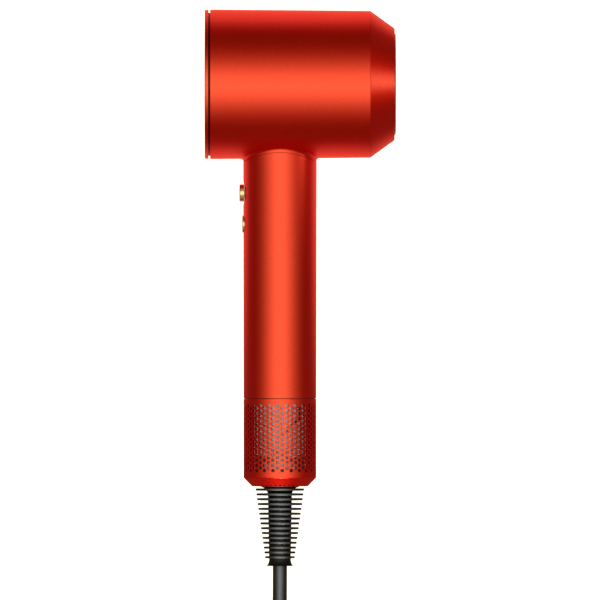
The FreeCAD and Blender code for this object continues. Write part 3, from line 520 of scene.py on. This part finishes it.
# The free end lies on the loop, from low on its outer side round to its top.
FLAP_LIFT = 1.0
FLAP_INSET = 0.4
FLAP_START = [(STRAP_OUTER + FLAP_LIFT, 9.0), (STRAP_OUTER + FLAP_LIFT, 17.0)]
FLAP_END = [(34.0, STRAP_TOP + FLAP_LIFT), (31.0, STRAP_TOP + 0.9)]


def corner_arc(radius, height, corner, first):
    """Quarter circle round that centre, anticlockwise from the first angle in degrees."""
    angles = [math.radians(first + 90 * step / CORNER_STEPS) for step in range(CORNER_STEPS + 1)]
    return [(radius + corner * math.cos(angle), height + corner * math.sin(angle)) for angle in angles]


def strap_loop():
    """Rounded rectangle in radius and height, anticlockwise from the middle of the top."""
    inner, outer = STRAP_INNER + STRAP_CORNER, STRAP_OUTER - STRAP_CORNER
    low, top = STRAP_LOW + STRAP_CORNER, STRAP_TOP - STRAP_CORNER
    path = [((STRAP_INNER + STRAP_OUTER) / 2, STRAP_TOP)]
    for radius, height, first in ((inner, top, 90), (inner, low, 180), (outer, low, 270), (outer, top, 0)):
        path += corner_arc(radius, height, STRAP_CORNER, first)
    return path


def strap_flap():
    """Path of the free end, which shares the centre of the loop's top outer corner."""
    corner = corner_arc(
        STRAP_OUTER - STRAP_CORNER, STRAP_TOP - STRAP_CORNER, STRAP_CORNER + FLAP_LIFT, 0)
    return FLAP_START + corner + FLAP_END


def strap_rings(path, closed, half_width):
    """Rings of points round a flat band along a path in the strap's plane."""
    rings = []
    last = len(path) - 1
    for index, (radius, height) in enumerate(path):
        before = path[index - 1] if closed or index else path[index]
        after = path[(index + 1) % len(path)] if closed or index < last else path[index]
        along = Vector((after[0] - before[0], after[1] - before[1])).normalized()
        ring = []
        for side, lift in STRAP_SECTION:
            away = radius + along.y * lift * STRAP_THICK
            up = height - along.x * lift * STRAP_THICK
            across = side * half_width
            x = COIL_CENTRE[0] + away * math.cos(STRAP_ANGLE) - across * math.sin(STRAP_ANGLE)
            y = COIL_CENTRE[1] + away * math.sin(STRAP_ANGLE) + across * math.cos(STRAP_ANGLE)
            ring.append((x * MM, y * MM, max(up, 0.0) * MM))
        rings.append(ring)
    return rings


strap = Surface()
strap.add_tube(strap_rings(strap_loop(), True, STRAP_WIDTH / 2), True)
strap.add_tube(strap_rings(strap_flap(), False, STRAP_WIDTH / 2 - FLAP_INSET), False)
coil_strap = mesh_piece("coil_strap", strap, "tie_fabric", "dryer")
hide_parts("coil_tie")


# ---------------------------------------------------------------- filter cloth
CLOTH_R = 16.88
CLOTH_LOW = -197.2
CLOTH_TOP = -164.1
CLOTH_COLUMNS = 180
CLOTH_ROWS = 56
WIRE_R = 0.15
WIRE_SIDES = 3


def outward(angle):
    """Unit direction out from the handle's axis at that angle."""
    return AXIS_X * math.cos(angle) - FACING * math.sin(angle)


def wire_ring(angle, share, wave, side):
    """Points round a wire at that angle and share of the height; the weave's wave swings it in and out."""
    radius = CLOTH_R + WIRE_R * wave
    height = CLOTH_LOW + (CLOTH_TOP - CLOTH_LOW) * share
    centre = on_dryer(radius * math.cos(angle), radius * math.sin(angle), height)
    out = outward(angle)
    ring = []
    for corner in range(WIRE_SIDES):
        turn = 2 * math.pi * (corner + 0.5) / WIRE_SIDES
        ring.append(centre + (out * math.cos(turn) + side * math.sin(turn)) * (WIRE_R * MM))
    return ring


def upright_wire(column):
    """Rings of the wire that runs along the handle at that column, one at each crossing and between."""
    angle = 2 * math.pi * column / CLOTH_COLUMNS
    side = outward(angle + math.pi / 2)
    steps = 2 * CLOTH_ROWS
    return [wire_ring(angle, step / steps, math.cos(math.pi * (step / 2 + column)), side)
            for step in range(steps + 1)]


def round_wire(row):
    """Rings of the wire that runs round the handle at that row, which swings against the others."""
    share = row / CLOTH_ROWS
    steps = 2 * CLOTH_COLUMNS
    return [wire_ring(2 * math.pi * step / steps, share, -math.cos(math.pi * (step / 2 + row)), HANDLE_UP)
            for step in range(steps)]


cloth = Surface()
for column in range(CLOTH_COLUMNS):
    cloth.add_tube(upright_wire(column), False)
for row in range(CLOTH_ROWS + 1):
    cloth.add_tube(round_wire(row), True)
filter_cloth = mesh_piece("filter_cloth", cloth, "filter_wire", "dryer")
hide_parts("filter_mesh")


# ---------------------------------------------------------------- studio light
SOFTBOX_WIDE = math.radians(30)
SOFTBOX_LONG = math.radians(21.5)
SOFTBOX_SHIFT = math.radians(2.5)
SOFTBOX_LIGHT = 2.2
SOFTBOX_TINT = (1, 1.16, 0.50, 1)
HORIZON_LIGHT = 0.03
BACKDROP_LIGHT = 1.0
BACKDROP_TINT = (1, 1, 1, 1)


def world_light():
    """Soft overhead light in a dark studio, where the camera sees only a pale backdrop."""
    world = bpy.data.worlds.new("studio")
    n = Nodes(world)
    heading = n.node("ShaderNodeTexCoord").outputs["Generated"]
    up = n.dot(heading, FACING)
    wide = n.math("DIVIDE", n.math("ARCTAN2", n.dot(heading, AXIS_X), up), SOFTBOX_WIDE)
    long = n.math("ADD", n.math("ARCTAN2", n.dot(heading, HANDLE_UP), up), SOFTBOX_SHIFT)
    long = n.math("DIVIDE", long, SOFTBOX_LONG)
    reach = n.math("ADD", n.math("MULTIPLY", wide, wide), n.math("MULTIPLY", long, long))
    bell = n.math("EXPONENT", n.math("MULTIPLY", reach, -0.5))
    total = n.math("ADD", n.math("MULTIPLY", bell, SOFTBOX_LIGHT), HORIZON_LIGHT)
    ray = n.node("ShaderNodeLightPath").outputs["Is Camera Ray"]
    thrown = n.math("MULTIPLY", total, n.math("SUBTRACT", 1.0, ray))
    seen = n.math("MULTIPLY", ray, BACKDROP_LIGHT)
    tint = n.node("ShaderNodeMix", data_type="RGBA")
    n.link(ray, tint.inputs["Factor"])
    tint.inputs["A"].default_value = SOFTBOX_TINT
    tint.inputs["B"].default_value = BACKDROP_TINT
    background = n.tree.nodes["Background"]
    n.link(n.math("ADD", thrown, seen), background.inputs["Strength"])
    n.link(tint.outputs["Result"], background.inputs["Color"])
    bpy.context.scene.world = world


# Name, place, aim, width and height in metres, brightness, colour and the cone's angle in degrees.
PANELS = [
    ("nose_panel", (0.30, 0.118, 0.135), (0.048, 0.116, 0.060), 0.10, 0.16, 0.15, (1, 0.60, 0.30), 32),
    ("foot_panel", (-0.0105, -0.25, 0.10), (-0.0105, -0.135, 0.030), 0.08, 0.05, 1.05, (1, 0.78, 0.42), 40),
    ("top_panel", (-0.0105, 0.50, 0.02), (-0.0105, 0.14, 0.045), 0.30, 0.05, 0.05, (1, 0.3, 0.2), 60),
]


def soft_panel(name, place, aim, width, height, radiance, colour, cone):
    """Rectangular light that shines within a cone towards its aim and isn't seen itself."""
    data = bpy.data.lights.new(name, "AREA")
    data.shape = "RECTANGLE"
    data.size = width
    data.size_y = height
    data.energy = radiance * math.pi * width * height
    data.spread = math.radians(cone)
    data.color = colour
    panel = add_object(name, data)
    panel.location = place
    panel.rotation_euler = (Vector(place) - Vector(aim)).to_track_quat("Z", "Y").to_euler()
    panel.visible_camera = False


world_light()
for panel_values in PANELS:
    soft_panel(*panel_values)


# ---------------------------------------------------------------- floor
FLOOR_HALF = 6.0
FLOOR_DROP = 0.0002
FLOOR_SEEN = 0.93
FLOOR_MATT = (0.9, 0.9, 0.9, 1)
FLOOR_PAINTED_GLOW = 1.25
FLOOR_NEAR_COLOUR = (1, 0.34, 0.22)
FLOOR_FAR_COLOUR = (0.13, 0.055, 0.04)
# The near part is an oval, narrow in X, whose middle lies past the head's centre.
FLOOR_SHIFT = 0.07
FLOOR_SQUEEZE = 1.9
FLOOR_INNER = 0.12
FLOOR_OUTER = 0.28


def floor_material():
    """Sweep that looks pale to the camera; to all other rays it is a painted glow, reddish and strongest
    near the head, dark further out, which the dryer's sides mirror.
    """
    material = bpy.data.materials.new("sweep_white")
    n = Nodes(material)
    n.tree.nodes.remove(n.tree.nodes["Principled BSDF"])
    place = n.node("ShaderNodeTexCoord").outputs["Object"]
    middle = (HEAD_CENTRE.x, HEAD_CENTRE.y + FLOOR_SHIFT, 0)
    offset = n.vector_math("SUBTRACT", place, middle)["Vector"]
    squeezed = n.vector_math("MULTIPLY", offset, (FLOOR_SQUEEZE, 1, 1))["Vector"]
    fall = n.spread(n.length(squeezed), 0.0, 1.0, FLOOR_INNER, FLOOR_OUTER, "SMOOTHSTEP")
    # Painted glow: emission seen only by rays other than the camera's, not light the floor reflects.
    thrown = n.node("ShaderNodeEmission")
    thrown.inputs["Strength"].default_value = FLOOR_PAINTED_GLOW
    n.link(n.ramp(fall, (0.0, *FLOOR_NEAR_COLOUR), (1.0, *FLOOR_FAR_COLOUR)), thrown.inputs["Color"])
    glow = n.node("ShaderNodeEmission")
    glow.inputs["Strength"].default_value = FLOOR_SEEN
    matt = n.node("ShaderNodeBsdfDiffuse")
    matt.inputs["Color"].default_value = FLOOR_MATT
    seen = n.node("ShaderNodeAddShader")
    n.feed(seen, glow.outputs["Emission"], matt.outputs["BSDF"])
    ray = n.node("ShaderNodeLightPath").outputs["Is Camera Ray"]
    mix = n.node("ShaderNodeMixShader")
    n.feed(mix, ray, thrown.outputs["Emission"], seen.outputs["Shader"])
    n.link(mix.outputs["Shader"], n.tree.nodes["Material Output"].inputs["Surface"])
    return material


floor_corners = [(x * FLOOR_HALF, y * FLOOR_HALF, 0) for x, y in ((-1, -1), (1, -1), (1, 1), (-1, 1))]
floor_data = bpy.data.meshes.new("sweep")
floor_data.from_pydata(floor_corners, [], [(0, 1, 2, 3)])
floor_data.materials.append(floor_material())
floor = add_object("sweep", floor_data)
floor.location.z = -FLOOR_DROP
